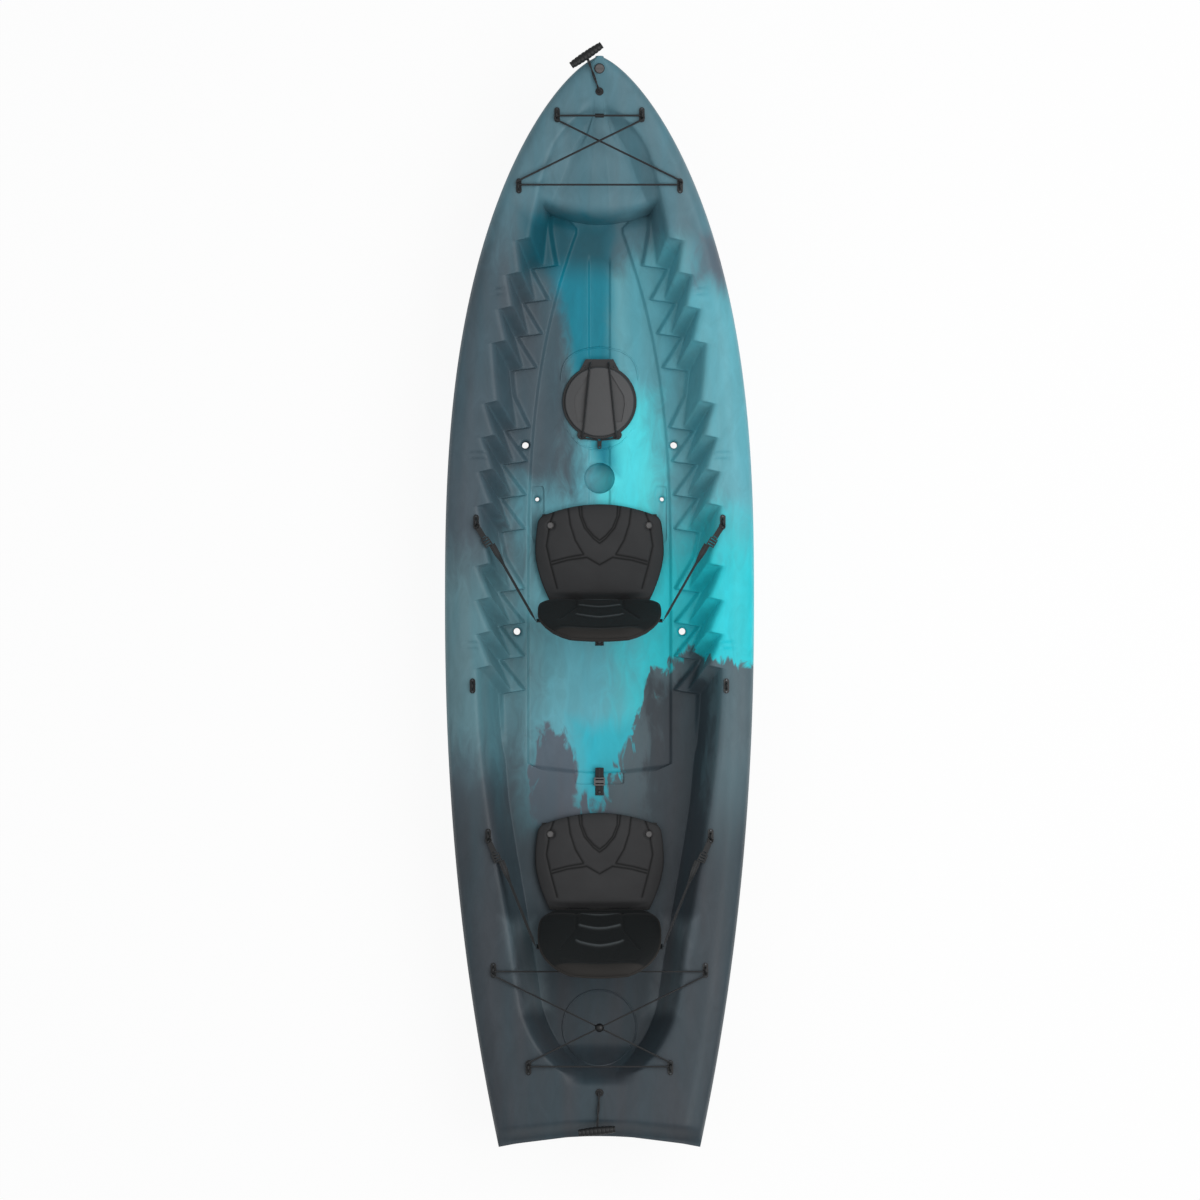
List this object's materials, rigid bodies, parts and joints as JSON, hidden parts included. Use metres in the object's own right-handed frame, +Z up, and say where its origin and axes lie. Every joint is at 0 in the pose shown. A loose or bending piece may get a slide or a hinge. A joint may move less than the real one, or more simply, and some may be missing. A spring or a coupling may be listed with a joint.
{
  "type": "sit-on-top tandem kayak",
  "caption": "Open sit-on-top kayak for two: moulded hull and deck with stepped footrests, folding seats, round hatch, cup holder, bungeed wells and carry handles.",
  "frame": {"origin": "on the keel pad amidships, on the centreline", "axes": "+Y to the bow, +X to starboard, +Z up"},
  "size_m": [0.91, 3.2394, 0.4448],
  "materials": {
    "hull_polyethylene": "satin",
    "deck_polyethylene": "satin",
    "black_plastic": "satin",
    "grey_plastic": "satin",
    "rubber_seal": "matte",
    "seat_fabric": "matte",
    "back_fabric": "matte",
    "braided_cord": "matte",
    "webbing": "matte",
    "stainless_steel": "brushed"
  },
  "bodies": {
    "hull": {"hull_moulding": "hull_polyethylene", "deck_moulding": "deck_polyethylene", "gunwale_port": "deck_polyethylene", "gunwale_starboard": "deck_polyethylene", "scupper_tubes": "deck_polyethylene", "drain_bushing": "black_plastic", "drain_washer": "rubber_seal", "bow_handle_grommet": "rubber_seal", "stern_handle_grommet": "rubber_seal", "bow_pad_eyes": "black_plastic", "bow_pad_eye_screws": "stainless_steel", "bow_bungee": "braided_cord", "bow_bungee_joiner": "black_plastic", "stern_pad_eyes": "black_plastic", "stern_pad_eye_screws": "stainless_steel", "stern_bungee": "braided_cord", "stern_bungee_joiner": "black_plastic", "stern_bungee_bead": "black_plastic", "seat_pad_eyes": "black_plastic", "seat_pad_eye_screws": "stainless_steel", "hatch_ring": "grey_plastic", "hatch_ring_screws": "stainless_steel", "hatch_gasket": "rubber_seal", "anchor_straps": "webbing", "anchor_buckles": "grey_plastic", "anchor_screws": "stainless_steel", "front_seat_pan": "black_plastic", "front_seat_pad": "seat_fabric", "front_seat_studs": "grey_plastic", "front_hinge_pin": "stainless_steel", "front_strap_port": "webbing", "front_strap_starboard": "webbing", "front_strap_hooks": "black_plastic", "front_strap_adjusters": "black_plastic", "rear_seat_pan": "black_plastic", "rear_seat_pad": "seat_fabric", "rear_seat_studs": "grey_plastic", "rear_hinge_pin": "stainless_steel", "rear_strap_port": "webbing", "rear_strap_starboard": "webbing", "rear_strap_hooks": "black_plastic", "rear_strap_adjusters": "black_plastic"},
    "front_backrest": {"front_backrest_shell": "black_plastic", "front_back_pad": "back_fabric"},
    "rear_backrest": {"rear_backrest_shell": "black_plastic", "rear_back_pad": "back_fabric"},
    "hatch_cover": {"hatch_lid": "grey_plastic", "hatch_bungee": "braided_cord", "hatch_pull_tab": "black_plastic"},
    "bow_handle": {"bow_handle_grip": "black_plastic", "bow_handle_cord": "braided_cord"},
    "stern_handle": {"stern_handle_grip": "black_plastic", "stern_handle_cord": "braided_cord"},
    "drain_plug": {"drain_plug": "grey_plastic"}
  },
  "joints": [
    {"name": "front_backrest_fold", "type": "hinge", "parent": "hull", "child": "front_backrest", "pos_m": [0, 0, 0.1273], "axis": [-1, 0, 0], "range_deg": [0, 75], "deforming": ["front_strap_port", "front_strap_starboard"]},
    {"name": "rear_backrest_fold", "type": "hinge", "parent": "hull", "child": "rear_backrest", "pos_m": [0, -0.913, 0.1393], "axis": [-1, 0, 0], "range_deg": [0, 86], "deforming": ["rear_strap_port", "rear_strap_starboard"]},
    {"name": "hatch_cover_lift", "type": "hinge", "parent": "hull", "child": "hatch_cover", "pos_m": [0, 0.709, 0.1073], "axis": [-1, 0, 0], "range_deg": [0, 120]},
    {"name": "bow_handle_lift", "type": "hinge", "parent": "hull", "child": "bow_handle", "pos_m": [0, 1.496, 0.33439], "axis": [0.9397, 0.342, 0], "range_deg": [0, 150]},
    {"name": "stern_handle_lift", "type": "hinge", "parent": "hull", "child": "stern_handle", "pos_m": [0, -1.437, 0.30851], "axis": [-0.9976, 0.0698, 0], "range_deg": [0, 150]},
    {"name": "drain_plug_turn", "type": "hinge", "parent": "hull", "child": "drain_plug", "pos_m": [0, 1.563, 0.33217], "axis": [0, -0.0982, 0.9952], "continuous": true}
  ]
}
